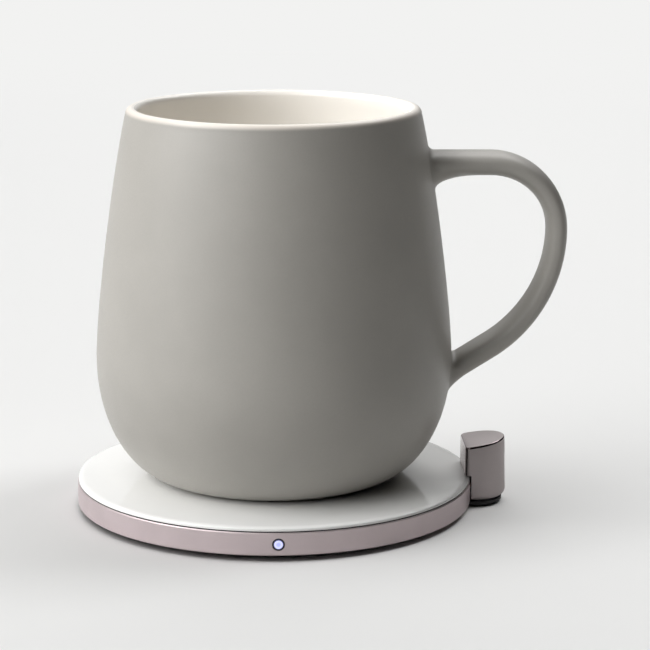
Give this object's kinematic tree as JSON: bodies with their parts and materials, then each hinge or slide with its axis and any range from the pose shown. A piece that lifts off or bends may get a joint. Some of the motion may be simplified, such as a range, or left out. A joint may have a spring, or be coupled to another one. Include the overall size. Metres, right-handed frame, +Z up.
{
  "type": "self-heating mug",
  "caption": "Ceramic mug with a sealed heating module in its foot, standing on a round glass-topped wireless heating pad with a metal rim, an indicator light and a small upright power post.",
  "frame": {"origin": "centre of the pad's foot, on the table plane", "axes": "+Z up along the pad's and the mug's axis, +X from the axis towards the power post, which is also the handle's side, +Y to the left of that"},
  "size_m": [0.1282, 0.104, 0.1057],
  "materials": {
    "mug_glaze": "soft matte warm grey glaze outside, glossy ivory glaze inside and over the lip",
    "heater_steel": "etched foil between steel faces, satin",
    "copper": "enamelled copper wire, semi-gloss",
    "sensor_resin": "cast resin bead",
    "insulation": "pressed ceramic fibre board",
    "dark_plastic": "moulded, fine texture",
    "circuit_board": "glass-fibre laminate under solder mask",
    "chip_black": "moulded package",
    "ferrite": "sintered sheet",
    "dark_silicone": "matte silicone",
    "pale_plastic": "moulded, fine texture",
    "white_glass": "polished glass with a white backing, bevelled edge",
    "gasket_black": "matte foam adhesive",
    "mauve_aluminium": "bead-blasted and anodised, polished chamfers",
    "light_pipe": "translucent, lit pale blue-white",
    "led_white": "moulded package",
    "capacitor_tan": "fired ceramic",
    "inductor_grey": "sintered shield",
    "screw_steel": "turned",
    "socket_steel": "drawn, satin",
    "flex_amber": "polyimide film"
  },
  "bodies": {
    "pad": {"top_glass": "white_glass", "glass_gasket": "gasket_black", "rim_ring": "mauve_aluminium", "indicator_lens": "light_pipe", "indicator_collar": "dark_plastic", "indicator_led": "led_white", "coil_carrier": "dark_plastic", "transmitter_ferrite": "ferrite", "transmitter_coil": "copper", "coil_sensor": "sensor_resin", "main_board": "circuit_board", "control_chips": "chip_black", "tuning_capacitors": "capacitor_tan", "power_inductors": "inductor_grey", "carrier_screws": "screw_steel", "base_tray": "dark_plastic", "base_screws": "screw_steel", "foot_pad": "dark_silicone", "post_shell": "mauve_aluminium", "post_core": "dark_plastic", "post_board": "circuit_board", "usb_shell": "socket_steel", "usb_tongue": "dark_plastic", "link_flex": "flex_amber", "post_screws": "screw_steel"},
    "mug": {"mug_body": "mug_glaze", "heater_disc": "heater_steel", "heater_leads": "copper", "temperature_sensor": "sensor_resin", "insulation_pad": "insulation", "module_frame": "dark_plastic", "receiver_board": "circuit_board", "receiver_chips": "chip_black", "receiver_ferrite": "ferrite", "receiver_coil": "copper", "base_seal": "dark_silicone", "base_cover": "pale_plastic"}
  },
  "joints": [
    {"name": "mug_lift", "type": "slide", "parent": "pad", "child": "mug", "axis": [0, 0, 1], "range_m": [0, 0.12]}
  ]
}
